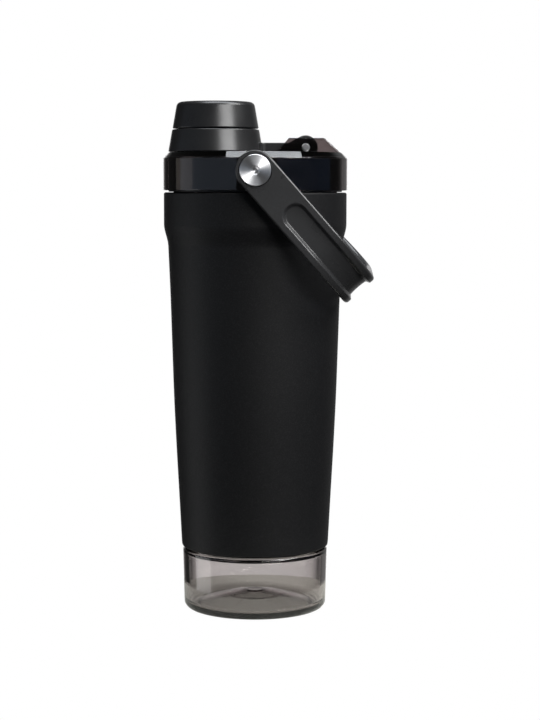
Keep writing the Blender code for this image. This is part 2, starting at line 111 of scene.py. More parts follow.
def finish_mesh(name, bm, shift=(0, 0, 0)):
    """Make an object in the row frame from a bmesh in the bottle's millimetres."""
    bmesh.ops.translate(bm, vec=Vector((AXIS_X, 0, 0)) + Vector(shift), verts=bm.verts)
    bmesh.ops.scale(bm, vec=(MM, MM, MM), verts=bm.verts)
    bmesh.ops.recalc_face_normals(bm, faces=bm.faces)
    mesh = bpy.data.meshes.new(name)
    bm.to_mesh(mesh)
    bm.free()
    obj = bpy.data.objects.new(name, mesh)
    bpy.context.scene.collection.objects.link(obj)
    return obj


def turned_mesh(outline, sides):
    """Turn a closed outline of (radius, height) round the z axis.

    Two neighbouring points of an outline may lie on the axis. The ends there become flat
    faces. The rings are made one by one, so that the mesh comes out the same each run.
    """
    bm = bmesh.new()
    points = [Vector(p) for p, q in zip(outline, (outline[-1], *outline))
              if (Vector(p) - Vector(q)).length > TOUCH]
    rings = []
    for radius, height in points:
        ring = [bm.verts.new((radius * cos(tau * i / sides), radius * sin(tau * i / sides),
                              height)) for i in range(sides)] if radius > 0 else None
        rings.append(ring)
    for first, second in zip(rings, rings[1:] + rings[:1]):
        if first and second:
            for i in range(sides):
                j = (i + 1) % sides
                bm.faces.new((first[i], first[j], second[j], second[i]))
        elif first or second:
            bm.faces.new(first or second)
    return bm


def turned(name, outline, sides=ROUND, x=0.0):
    """A piece turned round an upright line at x."""
    return finish_mesh(name, turned_mesh(outline, sides), (x, 0, 0))


def rod(name, outline, side, x, z, sides=TINY):
    """Turn an outline of (radius, distance from the bottle's axis) round a line along y."""
    bm = turned_mesh(outline, sides)
    turn = Matrix.Rotation(-side * pi / 2, 4, "X") @ Matrix.Rotation(pi / sides, 4, "Z")
    bmesh.ops.transform(bm, matrix=turn, verts=bm.verts)
    return finish_mesh(name, bm, (x, 0, z))


def block(name, low, high):
    bm = bmesh.new()
    bmesh.ops.create_cube(bm, size=1)
    size = [b - a for a, b in zip(low, high)]
    bmesh.ops.scale(bm, vec=size, verts=bm.verts)
    return finish_mesh(name, bm, [(a + b) / 2 for a, b in zip(low, high)])


def loft_mesh(sections):
    """Join sections of equally many points into one closed body."""
    bm = bmesh.new()
    rings = [[bm.verts.new(point) for point in section] for section in sections]
    count = len(rings[0])
    for first, second in zip(rings, rings[1:]):
        for i in range(count):
            j = (i + 1) % count
            bm.faces.new((first[i], first[j], second[j], second[i]))
    bm.faces.new(rings[0])
    bm.faces.new(reversed(rings[-1]))
    return bm


def bevel(bm, edges, width, segments):
    bmesh.ops.bevel(bm, geom=edges, offset=width, segments=segments, profile=0.5,
                    affect="EDGES", clamp_overlap=True)


def prism(name, outline, y_low, y_high, bevel_width=0.0):
    """A slab with an outline of (x, z) that runs along y, with its edges bevelled."""
    bm = loft_mesh([[(x, y, z) for x, z in outline] for y in (y_low, y_high)])
    if bevel_width:
        bmesh.ops.recalc_face_normals(bm, faces=bm.faces)
        sharp = [e for e in bm.edges if e.calc_face_angle(0) > radians(25)]
        bevel(bm, sharp, bevel_width, 3)
    return finish_mesh(name, bm)


def combine(obj, tool, operation):
    """Apply one Boolean to obj and remove the tool."""
    modifier = obj.modifiers.new(operation.lower(), "BOOLEAN")
    modifier.operation = operation
    modifier.solver = "EXACT"
    modifier.object = tool
    bpy.context.view_layer.update()
    evaluated = obj.evaluated_get(bpy.context.evaluated_depsgraph_get())
    result = bpy.data.meshes.new_from_object(evaluated)
    obj.modifiers.clear()
    obj.data = result
    bpy.data.objects.remove(tool, do_unlink=True)
    bm = bmesh.new()
    bm.from_mesh(result)
    bmesh.ops.remove_doubles(bm, verts=bm.verts, dist=WELD * MM)
    bm.to_mesh(result)
    bm.free()


def join(obj, *tools):
    for tool in tools:
        combine(obj, tool, "UNION")


def cut(obj, *tools):
    for tool in tools:
        combine(obj, tool, "DIFFERENCE")


def plain_rod(radius, low, high, *place, sides=TINY):
    """A plain round bar along y, to cut a hole with."""
    return rod("drill", ((0, low), (radius, low), (radius, high), (0, high)), *place, sides)


def thread(wall_r, inward, z_start):
    """One turn of a right-hand thread ridge on a wall, with tapered ends."""
    way = -1 if inward else 1
    sections = []
    for i in range(THREAD_STEPS + 1):
        angle = tau * i / THREAD_STEPS
        height = z_start + THREAD_PITCH * i / THREAD_STEPS
        rise = min(i, THREAD_STEPS - i, THREAD_LEAD) / THREAD_LEAD
        tip_r = wall_r + way * (0.15 + (THREAD_DEPTH - 0.15) * rise)
        shy_r = wall_r + way * (0.1 + (THREAD_DEPTH - 0.3) * rise)
        root_r = wall_r - way * 0.4
        corners = ((root_r, -0.6), (wall_r, -0.58), (shy_r, -0.36), (tip_r, -0.2),
                   (tip_r, 0.2), (shy_r, 0.36), (wall_r, 0.58), (root_r, 0.6))
        sections.append([(r * cos(angle), r * sin(angle), height + z) for r, z in corners])
    return finish_mesh("ridge", loft_mesh(sections))


def lug(inner, outer, low, turn):
    """A bayonet lug: a block bent round the spout's axis, with softened ends."""
    high = low + LUG_HEIGHT
    steps = 16
    sections = []
    for i in range(steps + 1):
        share = 2 * i / steps - 1
        angle = turn + LUG_HALF_ANGLE * share
        shrink = LUG_SOFT_END * max(0.0, abs(share) - 0.8) / 0.2
        corners = ((inner, low + shrink), (outer, low + shrink),
                   (outer, high - shrink), (inner, high - shrink))
        sections.append([(r * cos(angle), r * sin(angle), z) for r, z in corners])
    return finish_mesh("lug", loft_mesh(sections), (SPOUT_X, 0, 0))


def shade(obj, angle=32):
    """Smooth shading with sharp edges, and normals that keep flat faces flat."""
    obj.data.shade_smooth()
    obj.data.set_sharp_from_angle(angle=radians(angle))
    weighted = obj.modifiers.new("even_normals", "WEIGHTED_NORMAL")
    weighted.keep_sharp = True


def present(obj, body, material, slot, *nodes):
    """Dress a finished piece, hang it on its body and let it stand for CAD nodes."""
    shade(obj)
    obj.data.materials.clear()
    obj.data.materials.append(material)
    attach(obj, body)
    if nodes:
        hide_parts(*nodes)
    return obj


def centre_origin(obj):
    """Put the object's origin at the middle of its box."""
    corners = [Vector(corner) for corner in obj.bound_box]
    middle = sum(corners, Vector()) / len(corners)
    obj.data.transform(Matrix.Translation(-middle))
    obj.location = middle


# ---------------------------------------------------------------- materials

def node(tree, kind, inputs=None, **settings):
    """Add a shader node, set its settings, and set or link its inputs."""
    made = tree.nodes.new("ShaderNode" + kind)
    for key, value in settings.items():
        setattr(made, key, value)
    for key, value in (inputs or {}).items():
        if isinstance(value, bpy.types.NodeSocket):
            tree.links.new(value, made.inputs[key])
        else:
            made.inputs[key].default_value = value
    return made


def new_material(name, **sockets):
    """A Principled material with the given constants.

    It returns the material, its node tree, its shader and the object's own coordinates.
    """
    material = bpy.data.materials.new(name)
    material.use_nodes = True
    tree = material.node_tree
    shader = tree.nodes["Principled BSDF"]
    for key, value in sockets.items():
        shader.inputs[key.replace("_", " ")].default_value = value
    place = node(tree, "TexCoord").outputs["Object"]
    return material, tree, shader, place


def noise(tree, place, size_mm, detail=2.0, rough=0.5):
    """Noise whose blobs are about size_mm across."""
    made = node(tree, "TexNoise", {"Vector": place, "Scale": 1 / (size_mm * MM),
                                   "Detail": detail, "Roughness": rough})
    return made.outputs["Fac"]


def spread(tree, value, low, high, start=0.3, end=0.7):
    """Map noise to a range."""
    made = node(tree, "MapRange", {"Value": value, "From Min": start, "From Max": end,
                                   "To Min": low, "To Max": high})
    return made.outputs["Result"]


def blend_colours(tree, value, first, second, start=0.3, end=0.7):
    """Map noise to colours between two."""
    ramp = node(tree, "ValToRGB", {"Fac": value})
    ramp.color_ramp.elements[0].position = start
    ramp.color_ramp.elements[0].color = (*first, 1)
    ramp.color_ramp.elements[1].position = end
    ramp.color_ramp.elements[1].color = (*second, 1)
    return ramp.outputs["Color"]


def bump(tree, height, depth_mm, under=None):
    """Raise the surface by a height map, over another bump where one is given."""
    inputs = {"Height": height, "Distance": depth_mm * MM, "Strength": 1.0}
    if under:
        inputs["Normal"] = under
    return node(tree, "Bump", inputs).outputs["Normal"]


def link(tree, value, shader, socket):
    tree.links.new(value, shader.inputs[socket])


def grained_plastic(name, dark, light, roughness, grain_mm, depth_mm, specular=0.5):
    """Moulded plastic with a fine spark-eroded grain and faint handling marks."""
    material, tree, shader, place = new_material(name, Specular_IOR_Level=specular)
    grain = noise(tree, place, grain_mm, 3.0, 0.6)
    cloud = noise(tree, place, 14.0, 2.0)
    link(tree, blend_colours(tree, grain, dark, light), shader, "Base Color")
    low, high = roughness
    link(tree, spread(tree, cloud, low, high), shader, "Roughness")
    link(tree, bump(tree, grain, depth_mm), shader, "Normal")
    return material


def powder_coat():
    """Black powder coat: orange peel, a tight grain and scattered brighter specks."""
    material, tree, shader, place = new_material("powder_coat_look", Specular_IOR_Level=0.25)
    grain = noise(tree, place, 0.42, 3.0, 0.65)
    peel = noise(tree, place, 2.6, 1.0)
    speck = noise(tree, place, 0.55, 1.0)
    link(tree, blend_colours(tree, speck, (0.0050, 0.0050, 0.0054), (0.0115, 0.0115, 0.0120),
                             0.45, 0.72), shader, "Base Color")
    link(tree, spread(tree, grain, 0.62, 0.46), shader, "Roughness")
    skin = bump(tree, grain, 0.028)
    link(tree, bump(tree, peel, 0.030, skin), shader, "Normal")
    return material


def brushed_steel(name, colour, roughness):
    """Satin steel with fine lines that run round the bottle."""
    material, tree, shader, place = new_material(name, Metallic=1.0, Anisotropic=0.5)
    stretched = node(tree, "Mapping", {"Vector": place, "Scale": (1.0, 1.0, 40.0)})
    lines = noise(tree, stretched.outputs["Vector"], 6.0, 4.0, 0.7)
    light = [min(1.0, 1.12 * c) for c in colour]
    link(tree, blend_colours(tree, lines, colour, light), shader, "Base Color")
    link(tree, spread(tree, lines, roughness - 0.05, roughness + 0.08), shader, "Roughness")
    link(tree, bump(tree, lines, 0.004), shader, "Normal")
    return material


def turned_steel():
    """A lathe-turned face: fine concentric rings about the piece's own y axis."""
    material, tree, shader, place = new_material(
        "turned_steel_look", Metallic=1.0, Anisotropic=0.9, Anisotropic_Rotation=0.25)
    flat = node(tree, "VectorMath", {0: place, 1: (1.0, 0.0, 1.0)}, operation="MULTIPLY")
    radius = node(tree, "VectorMath", {0: flat.outputs["Vector"]}, operation="LENGTH")
    rings = node(tree, "TexNoise", {"W": radius.outputs["Value"], "Scale": 1 / (0.22 * MM),
                                    "Detail": 2.0}, noise_dimensions="1D").outputs["Fac"]
    link(tree, blend_colours(tree, rings, (0.74, 0.74, 0.75), (0.92, 0.92, 0.93)),
         shader, "Base Color")
    link(tree, spread(tree, rings, 0.44, 0.54), shader, "Roughness")
    link(tree, bump(tree, rings, 0.003), shader, "Normal")
    tangent = node(tree, "Tangent", direction_type="RADIAL", axis="Y")
    link(tree, tangent.outputs["Tangent"], shader, "Tangent")
    return material


def smoked_plastic(name, tint, absorb, density, roughness):
    """See-through moulded plastic: a tint, depth of colour, and faint flow marks."""
    material, tree, shader, place = new_material(
        name, Transmission_Weight=1.0, IOR=1.54, Base_Color=(*tint, 1))
    cloud = noise(tree, place, 9.0, 3.0)
    link(tree, spread(tree, cloud, roughness, roughness + 0.025), shader, "Roughness")
    flow = noise(tree, place, 16.0, 1.0)
    link(tree, bump(tree, flow, 0.004), shader, "Normal")
    depth = node(tree, "VolumeAbsorption", {"Color": (*absorb, 1), "Density": density})
    output = tree.nodes["Material Output"]
    tree.links.new(depth.outputs["Volume"], output.inputs["Volume"])
    return material


LOOKS = {
    "powder_coat": powder_coat(),
    "black_plastic": grained_plastic("black_plastic_look", (0.010, 0.010, 0.0105),
                                     (0.016, 0.016, 0.0165), (0.27, 0.34), 0.44, 0.006),
    # The handle wears the cap's black plastic painted lighter: painted light, standing in for the
    # light that falls on the handle's face.
    "handle_painted_light_plastic": grained_plastic("handle_painted_light_plastic_look", (0.026, 0.026, 0.0265),
                                      (0.036, 0.036, 0.037), (0.25, 0.32), 0.46, 0.003),
    "core_plastic": grained_plastic("core_plastic_look", (0.006, 0.006, 0.007),
                                    (0.010, 0.010, 0.011), (0.38, 0.48), 0.35, 0.008),
    "silicone": grained_plastic("silicone_look", (0.018, 0.018, 0.019),
                                (0.026, 0.026, 0.027), (0.60, 0.72), 0.25, 0.01),
    "acetal": grained_plastic("acetal_look", (0.016, 0.016, 0.017),
                              (0.024, 0.024, 0.025), (0.30, 0.38), 0.30, 0.005),
    "turned_steel": turned_steel(),
    "brushed_steel": brushed_steel("brushed_steel_look", (0.50, 0.50, 0.51), 0.30),
    "getter_metal": brushed_steel("getter_metal_look", (0.28, 0.28, 0.29), 0.55),
    "brass": brushed_steel("brass_look", (0.60, 0.43, 0.18), 0.30),
    "smoked_lid": smoked_plastic("smoked_lid_look", (0.97, 0.96, 0.96),
                                 (0.10, 0.00, 0.00), 370.0, 0.01),
    "smoked_cup": smoked_plastic("smoked_cup_look", (0.98, 0.98, 0.98),
                                 (0.12, 0.02, 0.00), 158.0, 0.01),
}


# ---------------------------------------------------------------- bottle

STEEL_WALL = 0.9
BODY_BOTTOM = 31.6
SIDE_BOTTOM = 33.6       # top of the rounded foot
COLLAR_TOP = 208.0
COLLAR_R = 45.3
NECK_R = 40.4
NECK_TOP = 212.4
SEAM = 0.3               # gap between pieces that are welded, glued or moulded together
BODY_RADII = ((33.0, 36.8), (57.0, 38.05), (82.0, 39.4), (106.0, 40.5),
              (130.0, 41.3), (154.0, 42.05), (168.0, 42.6), (180.5, 43.15))
STEP_LOW = 181.0         # the smooth step from the body out to the collar
STEP_HIGH = 192.5


def body_radius(z):
    """The tapered wall's radius: a smooth curve through BODY_RADII."""
    count = len(BODY_RADII)
    for i in range(count - 1):
        if z <= BODY_RADII[i + 1][0] or i == count - 2:
            break
    p = [BODY_RADII[min(max(i + k, 0), count - 1)] for k in (-1, 0, 1, 2)]
    t = (z - p[1][0]) / (p[2][0] - p[1][0])
    slopes = []
    for a, b in ((p[0], p[2]), (p[1], p[3])):
        slopes.append((b[1] - a[1]) / (b[0] - a[0]) * (p[2][0] - p[1][0]))
    a, b = p[1][1], p[2][1]
    return ((2 * t ** 3 - 3 * t ** 2 + 1) * a + (t ** 3 - 2 * t ** 2 + t) * slopes[0]
            + (3 * t ** 2 - 2 * t ** 3) * b + (t ** 3 - t ** 2) * slopes[1])


def body_side(inset):
    """The body's side from its base to its collar, moved inward by inset."""
    points = []
    rows = 34
    for i in range(rows + 1):
        z = SIDE_BOTTOM + (STEP_LOW - SIDE_BOTTOM) * i / rows
        points.append((body_radius(z) - inset, z))
    steps = 14
    low = body_radius(STEP_LOW)
    for i in range(1, steps + 1):
        t = i / steps
        ease = t * t * (3 - 2 * t)
        points.append((low + (COLLAR_R - low) * ease - inset,
                       STEP_LOW + (STEP_HIGH - STEP_LOW) * t))
    return points


def make_body():
    wall = STEEL_WALL
    foot = rounded(((35.4, BODY_BOTTOM + 1.2), (35.4, BODY_BOTTOM, 0.35),
                    (body_radius(33) - 0.2, BODY_BOTTOM, 1.5),
                    (body_radius(SIDE_BOTTOM), SIDE_BOTTOM)))[1:-1]
    collar = rounded(((COLLAR_R, STEP_HIGH), (COLLAR_R, COLLAR_TOP, 0.9),
                      (NECK_R, COLLAR_TOP, 0.4), (NECK_R, NECK_TOP, 0.25),
                      (NECK_R - wall, NECK_TOP, 0.25), (NECK_R - wall, COLLAR_TOP - wall, 0.3),
                      (COLLAR_R - wall, COLLAR_TOP - wall, 0.5),
                      (COLLAR_R - wall, STEP_HIGH)))[1:-1]
    inside = body_side(wall)[::-1]
    body = turned("body", foot + body_side(0) + collar + inside)
    join(body, thread(NECK_R, False, COLLAR_TOP + 0.75))
    present(body, "bottle", LOOKS["powder_coat"], "powder_coat", "outer_shell")


def make_liner():
    low, high = 46.0, 213.4
    neck, wall = 39.2, STEEL_WALL
    outline = ((0, low), (31.0, low, 3.5), (34.0, low + 4, 3), (36.0, 90.0, 60),
               (neck - 1.2, 150.0, 60), (neck, 192.0, 30), (neck, NECK_TOP + SEAM),
               (NECK_R, NECK_TOP + SEAM, 0.3), (NECK_R, high, 0.3),
               (neck - wall, high, 0.35), (neck - wall, 192.0, 30),
               (neck - 1.2 - wall, 150.0, 60), (36.0 - wall, 90.0, 60),
               (34.0 - wall, low + 4.3, 3), (30.6, low + wall, 3), (0, low + wall))
    liner = turned("liner", rounded(outline))
    present(liner, "bottle", LOOKS["brushed_steel"], "brushed_steel", "inner_liner")


# ---------------------------------------------------------------- storage cup

def make_cup():
    top_r, foot_r, corner, wall = 36.3, 35.6, 5.0, 2.6
    rim, neck_r, bore, neck_top = 30.5, 32.2, 30.0, 39.8
    contact = foot_r - corner
    outline = ((0, 6.0), (4.0, 6.0, 3), (13.0, 4.3, 14), (contact - 3.6, 0.9, 8),
               (contact - 2.0, 0.0, 0.8), (foot_r - 0.15, 0.0, corner), (top_r, rim, 1.3),
               (neck_r, rim, 0.4), (neck_r, neck_top, 0.5), (bore, neck_top, 0.5),
               (bore, rim - 0.7, 1.0), (top_r - wall, rim - 1.9, 1.2),
               (foot_r - wall - 0.1, 2.7, 2.6), (contact - 3.2, 3.4, 6), (13.0, 6.9, 14),
               (4.0, 8.6, 3), (0, 8.6))
    cup = turned("cup", rounded(outline, 8))
    join(cup, thread(neck_r, False, 34.8))
    present(cup, "cup", LOOKS["smoked_cup"], "smoked_cup", "storage_cup")


# ---------------------------------------------------------------- lid

LID_BOTTOM = 209.0
LID_R = 45.6
LID_TOP = 227.6
LID_CHAMFER_Z = 224.6
LID_TOP_R = 43.0
PLATE_Z = 224.8
SHELL_BORE = 43.3
EAR_TOP = 234.65
EAR_INNER, EAR_OUTER = 6.6, 9.6
SPOUT_BASE_R = 15.4
SPOUT_TOP = 244.4
CORE_R = 42.95
CORE_BORE = 41.9
CORE_TOP = 224.5
CORE_PLATE_Z = 221.1
CORE_RING_Z = 215.5
KNUCKLE_ROOM = 7.4
PIN_R = 1.7
PIN_BORE = 2.0
PIN_HOLE_REACH = 12      # far enough to pass through both ears
SCREW_HOLE_R = 2.5       # of the holes for the handle's screws and inserts
LUGS = 3                 # round the spout, and again inside the cap
SPOUT_LUG_Z = 234.0
CAP_LUG_Z = SPOUT_LUG_Z - 2.5
LUG_HEIGHT = 1.8
LUG_HALF_ANGLE = radians(16)
LUG_SOFT_END = 0.35


def make_lid():
    outline = ((LID_R, LID_BOTTOM, 0.35), (LID_R, LID_CHAMFER_Z, 0.35),
               (LID_TOP_R, LID_TOP, 0.35), (0, LID_TOP), (0, PLATE_Z),
               (SHELL_BORE, PLATE_Z, 0.6), (SHELL_BORE, LID_BOTTOM, 0.3))
    lid = turned("lid", rounded(outline, 4))
    ear = ((10.4, 226.3), (10.4, 227.5), (16.45, EAR_TOP), (33.9, EAR_TOP),
           (44.2, 225.25), (42.0, 226.3))
    for side in (-1, 1):
        near, far = sorted((side * (EAR_INNER - 1), side * EAR_OUTER))
        join(lid, prism("ear", ear, near, far, 0.45))
        pad = rounded(((0, 44.6), (6.0, 44.6), (6.0, 46.8, 0.3), (0, 46.8)))
        join(lid, rod("pad", pad, side, 0, PIVOT_Z))
    hole = rounded(((0, PLATE_Z - 2), (16.0, PLATE_Z - 2), (16.0, LID_TOP, 0.3),
                    (17.5, LID_TOP + 1.5), (0, LID_TOP + 1.5)))
    cut(lid, turned("hole", hole, SMALL, SPOUT_X))
    cut(lid, block("channel", (8.4, -EAR_INNER, LID_TOP - 0.7),
                   (LID_R + 2, EAR_INNER, EAR_TOP + 2)))
    width = EAR_INNER - 0.1
    cut(lid, block("slot", (HINGE_X - KNUCKLE_ROOM, -width, PLATE_Z - 2),
                   (HINGE_X + KNUCKLE_ROOM, width, EAR_TOP + 2)))
    cut(lid, plain_rod(PIN_BORE, -PIN_HOLE_REACH, PIN_HOLE_REACH, 1, HINGE_X, HINGE_Z))
    for side in (-1, 1):
        cut(lid, plain_rod(SCREW_HOLE_R, 41, 49, side, 0, PIVOT_Z))
    present(lid, "lid", LOOKS["smoked_lid"], "smoked_lid", "lid_shell")


def make_core():
    low, top = COLLAR_TOP + SEAM, SPOUT_TOP
    outline = ((CORE_R, low, 0.3), (CORE_R, CORE_TOP, 0.5), (0, CORE_TOP), (0, CORE_PLATE_Z),
               (34.5, CORE_PLATE_Z, 0.6), (34.5, CORE_RING_Z, 0.4),
               (CORE_BORE, CORE_RING_Z, 0.4), (CORE_BORE, low, 0.3))
    core = turned("core", rounded(outline, 3))
    join(core, thread(CORE_BORE, True, COLLAR_TOP + 2.25))
    spout = turned("spout_body", rounded(((0, CORE_TOP - 2.0), (SPOUT_BASE_R, CORE_TOP - 2.0),
                                          (SPOUT_BASE_R, CORE_TOP + 0.5, 2), (14.3, top, 0.8),
                                          (0, top))), SMALL, SPOUT_X)
    for i in range(LUGS):
        join(spout, lug(13.4, 16.4, SPOUT_LUG_Z, radians(60) + tau * i / LUGS))
    join(core, spout)
    bore = rounded(((0, CORE_PLATE_Z - 2), (14.0, CORE_PLATE_Z - 2), (12.4, CORE_PLATE_Z, 0.8),
                    (12.4, top, 0.6), (14.0, top + 1.6), (0, top + 1.6)))
    cut(core, turned("bore", bore, SMALL, SPOUT_X))
    cut(core, block("pocket", (HINGE_X - KNUCKLE_ROOM, -EAR_INNER, HINGE_Z - KNUCKLE_R - 0.7),
                    (HINGE_X + KNUCKLE_ROOM, EAR_INNER, CORE_TOP + 2)))
    for side in (-1, 1):
        cut(core, plain_rod(SCREW_HOLE_R, 37.3, 46, side, 0, PIVOT_Z))
    present(core, "lid", LOOKS["core_plastic"], "core_plastic", "lid_core")


def make_pin():
    outline = ((0, -PIN_REACH), (PIN_R, -PIN_REACH, 0.35), (PIN_R, PIN_REACH, 0.35),
               (0, PIN_REACH))
    pin = rod("pin", rounded(outline), 1, HINGE_X, HINGE_Z)
    centre_origin(pin)
    present(pin, "lid", LOOKS["brushed_steel"], "brushed_steel", "hinge_pin")


# ---------------------------------------------------------------- tether and cap

RING_LOW, RING_HIGH = 227.9, 238.9
RING_FOOT_R, RING_TOP_R, RING_BORE = 23.45, 21.5, 18.8
STRAP_TOP = 232.4
RAMP_X = 16.6            # where the strap starts to rise to the top of its knuckle
RAMP_SLOPE = radians(28.5)
KNUCKLE_R, KNUCKLE_HALF = 5.9, 6.2


def strap_outline():
    """The strap from above: parallel sides that flare into the ring."""
    half, flare = KNUCKLE_HALF - 0.1, 2.4
    steps = 8
    side = []
    for i in range(steps + 1):
        angle = pi / 2 * i / steps
        side.append((SPOUT_X + 21.9 + flare * (1 - cos(angle)) * 1.25,
                     half + flare * (1 - sin(angle))))
    side.append((HINGE_X, half))
    return [(SPOUT_X + 20.6, -half - flare)] + [(x, -y) for x, y in side] + side[::-1] + [
        (SPOUT_X + 20.6, half + flare)]


def make_strap():
    """The strap, with rounded upper edges."""
    bm = loft_mesh([[(x, y, z) for x, y in strap_outline()] for z in (RING_LOW, STRAP_TOP)])
    bmesh.ops.recalc_face_normals(bm, faces=bm.faces)
    top = [e for e in bm.edges if all(v.co.z > STRAP_TOP - 0.1 for v in e.verts)
           and abs(e.verts[0].co.y - e.verts[1].co.y) < 8]
    bevel(bm, top, 0.6, 4)
    return finish_mesh("strap", bm)


def make_tether():
    outline = ((19.9, RING_LOW, 0.2), (RING_FOOT_R, RING_LOW, 0.5),
               (RING_TOP_R, RING_HIGH, 0.6), (RING_BORE, RING_HIGH, 0.4),
               (RING_BORE, RING_LOW + 1.9, 0.1), (19.9, RING_LOW + 1.7, 0.1))
    tether = turned("tether_ring", rounded(outline), SMALL, SPOUT_X)
    join(tether, make_strap())
    ramp = ((RAMP_X, STRAP_TOP - 1.4), (RAMP_X, STRAP_TOP),
            (HINGE_X - KNUCKLE_R * sin(RAMP_SLOPE), HINGE_Z + KNUCKLE_R * cos(RAMP_SLOPE)),
            (HINGE_X, HINGE_Z), (HINGE_X - 2.0, HINGE_Z - 1.5))
    join(tether, prism("ramp", ramp, 0.3 - KNUCKLE_HALF, KNUCKLE_HALF - 0.3))
    knuckle = rounded(((0, -KNUCKLE_HALF), (KNUCKLE_R, -KNUCKLE_HALF, 0.5),
                       (KNUCKLE_R, KNUCKLE_HALF, 0.5), (0, KNUCKLE_HALF)))
    join(tether, rod("knuckle", knuckle, 1, HINGE_X, HINGE_Z))
    cut(tether, plain_rod(PIN_BORE, -PIN_HOLE_REACH, PIN_HOLE_REACH, 1, HINGE_X, HINGE_Z))
    present(tether, "cap_tether", LOOKS["black_plastic"], "black_plastic", "tether")


def make_cap():
    low, high = 239.4, 252.4
    inner = 18.7
    shell = rounded(((inner, low, 0.3), (21.3, low, 0.45), (19.05, high, 2.6), (0, high),
                     (0, 250.2), (17.3, 250.2, 0.8), (inner, 247.5, 0.8)), 8)
    cap = turned("cap", shell, SMALL, SPOUT_X)
    present(cap, "cap", LOOKS["black_plastic"], "black_plastic", "cap_shell")
    core = turned("cap_inside", rounded(((17.0, 228.0, 0.3), (19.0, 228.0, 0.2),
                                         (19.3, 228.4, 0.2), (19.3, 229.0, 0.2),
                                         (18.4, 229.2, 0.2), (18.4, 247.4, 0.6),
                                         (17.1, 249.9, 0.4), (0, 249.9), (0, 246.5),
                                         (17.0, 246.5, 0.6)), 4), SMALL, SPOUT_X)
    for i in range(LUGS):
        join(core, lug(15.9, 17.6, CAP_LUG_Z, tau * i / LUGS))
    present(core, "cap", LOOKS["core_plastic"], "core_plastic", "cap_core")


# ---------------------------------------------------------------- handle

HANDLE_DROP = radians(48.6)
REACH, HALF_WIDTH = 77.5, 9.45
INNER, THICK, BEND = 48.4, 3.8, 30.0
FILLET, GRIP_FILLET = 0.8, 1.7   # of the outer edges: along the arms, at the crossbar
INNER_FILLET = 1.7
POCKET_START, POCKET_HALF, POCKET_WALL, POCKET_DEPTH = 22.5, 6.3, 1.7, 1.6
BOW_DEPTH = 2.3                  # of the track at the crossbar
BEFORE_TRACK = -99               # a place on the band that the track doesn't reach
EYE_START = radians(6)           # where the rounded end of an arm begins
HANDLE_TWIST = radians(3.2)      # how far the back arm hangs above the front one


def pocket_depth(along, up, bow):
    """How far the outer face is sunk at a place.

    It is a flat-floored track with a wall. Round the bend it grows deeper and its floor
    turns slightly hollow, by the share given.
    """
    centre = POCKET_START + POCKET_HALF
    if along < centre:
        inside = POCKET_HALF - sqrt((centre - along) ** 2 + up ** 2)
    else:
        inside = POCKET_HALF - abs(up)
    t = min(max(inside / POCKET_WALL, 0.0), 1.0)
    hollow = max(0.0, 1 - (up / POCKET_HALF) ** 2)
    depth = POCKET_DEPTH + (BOW_DEPTH * (0.75 + 0.25 * hollow) - POCKET_DEPTH) * bow
    return depth * t * t * (3 - 2 * t)


def band_columns(half, bow):
    """Across the band: (up, depth below the outer face, True where the track may sink)."""
    fillet = min(FILLET + (GRIP_FILLET - FILLET) * bow, 0.9 * half)
    steps = 6
    columns = []
    for i in range(steps + 1):
        angle = pi / 2 * i / steps
        columns.append((-half + fillet * (1 - cos(angle)), fillet * (1 - sin(angle)), False))
    span = half - fillet
    edge = POCKET_HALF / HALF_WIDTH * half
    inner = edge - POCKET_WALL
    marks = []
    fine = 14
    for i in range(5):
        marks.append(-span + (span - edge) * (i + 1) / 6)
    for i in range(fine + 1):
        marks.append(-edge + (edge - max(inner, 0.0)) * i / fine)
    middle = 16
    for i in range(1, middle):
        marks.append(-max(inner, 0.0) + 2 * max(inner, 0.0) * i / middle)
    marks += [-m for m in marks[:5 + fine + 1]][::-1]
    for up in marks:
        columns.append((up, 0.0, True))
    columns += [(-up, deep, sink) for up, deep, sink in columns[:steps + 1]][::-1]
    small = min(INNER_FILLET, 0.5 * half)
    low = []
    for i in range(6):
        angle = pi / 2 * i / 5
        low.append((half - small * (1 - cos(angle)), THICK - small * (1 - sin(angle)), False))
    columns += low
    columns += [(-up, deep, sink) for up, deep, sink in low][::-1]
    return columns


def band_row(along, turn, half, travel, bow=0.0):
    """One cross-section of the band; travel is its distance from the pivot.

    On an arm it stands at along. Round the bend, turn says how far it has come round.
    """
    centre = (REACH - BEND, INNER + THICK - BEND)
    row = []
    for up, deep, sink in band_columns(half, bow):
        if sink:
            deep += pocket_depth(travel, up, bow)
        out = THICK - deep
        if turn is None:
            row.append((along, INNER + out, up))
        else:
            radius = BEND - THICK + out
            row.append((centre[0] + radius * sin(turn), centre[1] + radius * cos(turn), up))
    return row


def half_band():
    """Rows from the rounded eye, along one arm and round its bend to the crossbar."""
    rows = []
    round_steps = 22
    for i in range(round_steps):
        angle = EYE_START + (pi / 2 - EYE_START) * i / round_steps
        rows.append(band_row(-HALF_WIDTH * cos(angle), None, HALF_WIDTH * sin(angle),
                             BEFORE_TRACK))
    straight = REACH - BEND
    fine_end = POCKET_START + POCKET_HALF + 0.3
    stops = [POCKET_START * i / 14 for i in range(14)]
    fine = 44
    stops += [POCKET_START + (fine_end - POCKET_START) * i / fine for i in range(fine)]
    stops += [fine_end + (straight - fine_end) * i / 16 for i in range(16)]
    for along in stops:
        rows.append(band_row(along, None, HALF_WIDTH, along))
    bend_steps = 44
    for i in range(bend_steps + 1):
        t = i / bend_steps
        rows.append(band_row(None, pi / 2 * t, HALF_WIDTH, straight + i, t * t * (3 - 2 * t)))
    for i in range(1, 6):
        y = (INNER + THICK - BEND) * (1 - i / 5)
        rows.append([(x, y, up) for x, _, up in rows[-1]])
    return rows


